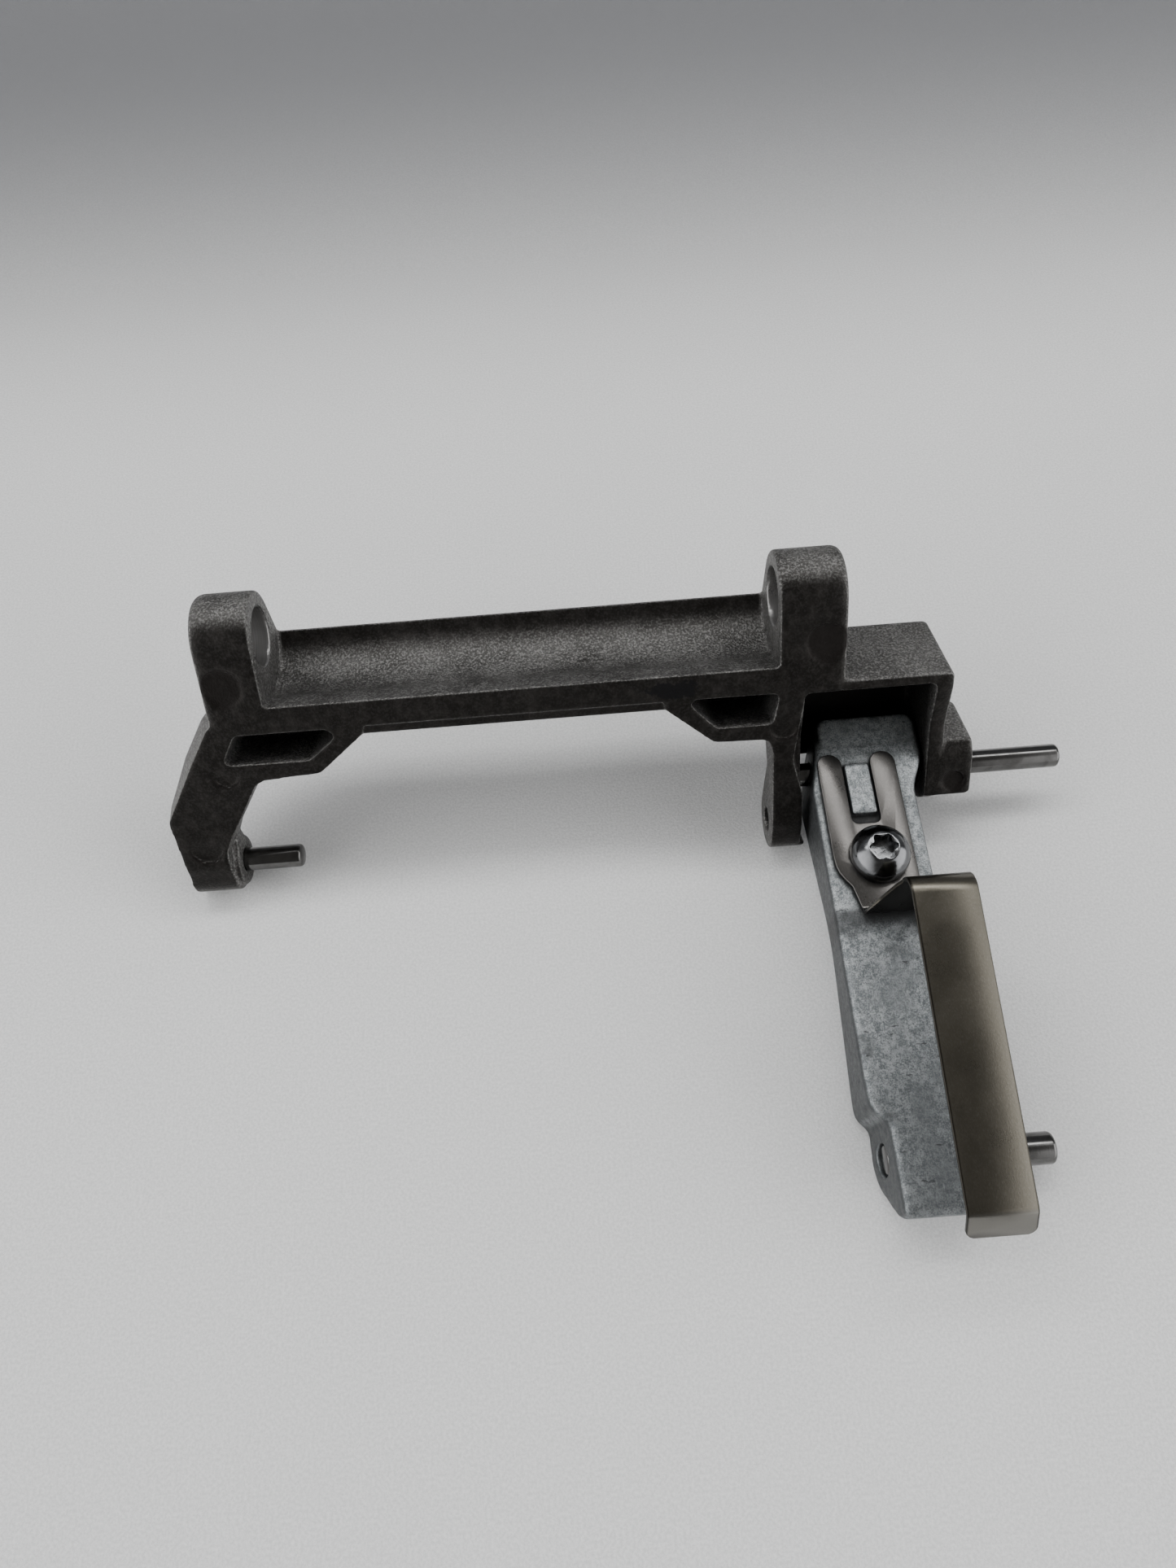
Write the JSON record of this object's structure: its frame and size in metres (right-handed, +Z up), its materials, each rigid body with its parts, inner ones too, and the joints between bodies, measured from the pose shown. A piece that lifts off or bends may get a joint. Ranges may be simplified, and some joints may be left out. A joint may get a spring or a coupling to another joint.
{
  "type": "yoke bracket with hinged sprung lever",
  "caption": "Die-cast yoke bracket with bored eyes, a channel beam and legs, carrying a hinged zinc lever with a bent leaf spring, a lobed-socket screw and plain dowel pins.",
  "frame": {"origin": "middle of the bounding box at the surface it stands on", "axes": "+X along the eye bores from the plain leg to the hinge box, -Y from the bracket towards the lever's tip, +Z up; the bracket leans back as it stands"},
  "size_m": [0.1286, 0.0856, 0.0377],
  "materials": {
    "cast_grey": "dark grey sand-blasted die-casting with a pebbled grain",
    "zinc_grey": "bluish bright die-cast zinc, mottled and smudged",
    "spring_steel": "rolled spring steel strip, olive grey, faint lengthwise grain",
    "screw_steel": "bright zinc-plated, near mirror",
    "pin_steel": "ground and polished dowel steel"
  },
  "bodies": {
    "bracket": {"yoke_bracket": "cast_grey", "left_leg_pin": "pin_steel", "lever_pivot_pin": "pin_steel"},
    "lever": {"lever_arm": "zinc_grey", "leaf_spring": "spring_steel", "spring_screw": "screw_steel", "lever_tip_pin": "pin_steel"}
  },
  "joints": [
    {"name": "lever_hinge", "type": "hinge", "parent": "bracket", "child": "lever", "pos_m": [-0.01169, 0.02171, 0.00822], "axis": [1, 0, 0], "range_deg": [0, 52.5]}
  ]
}
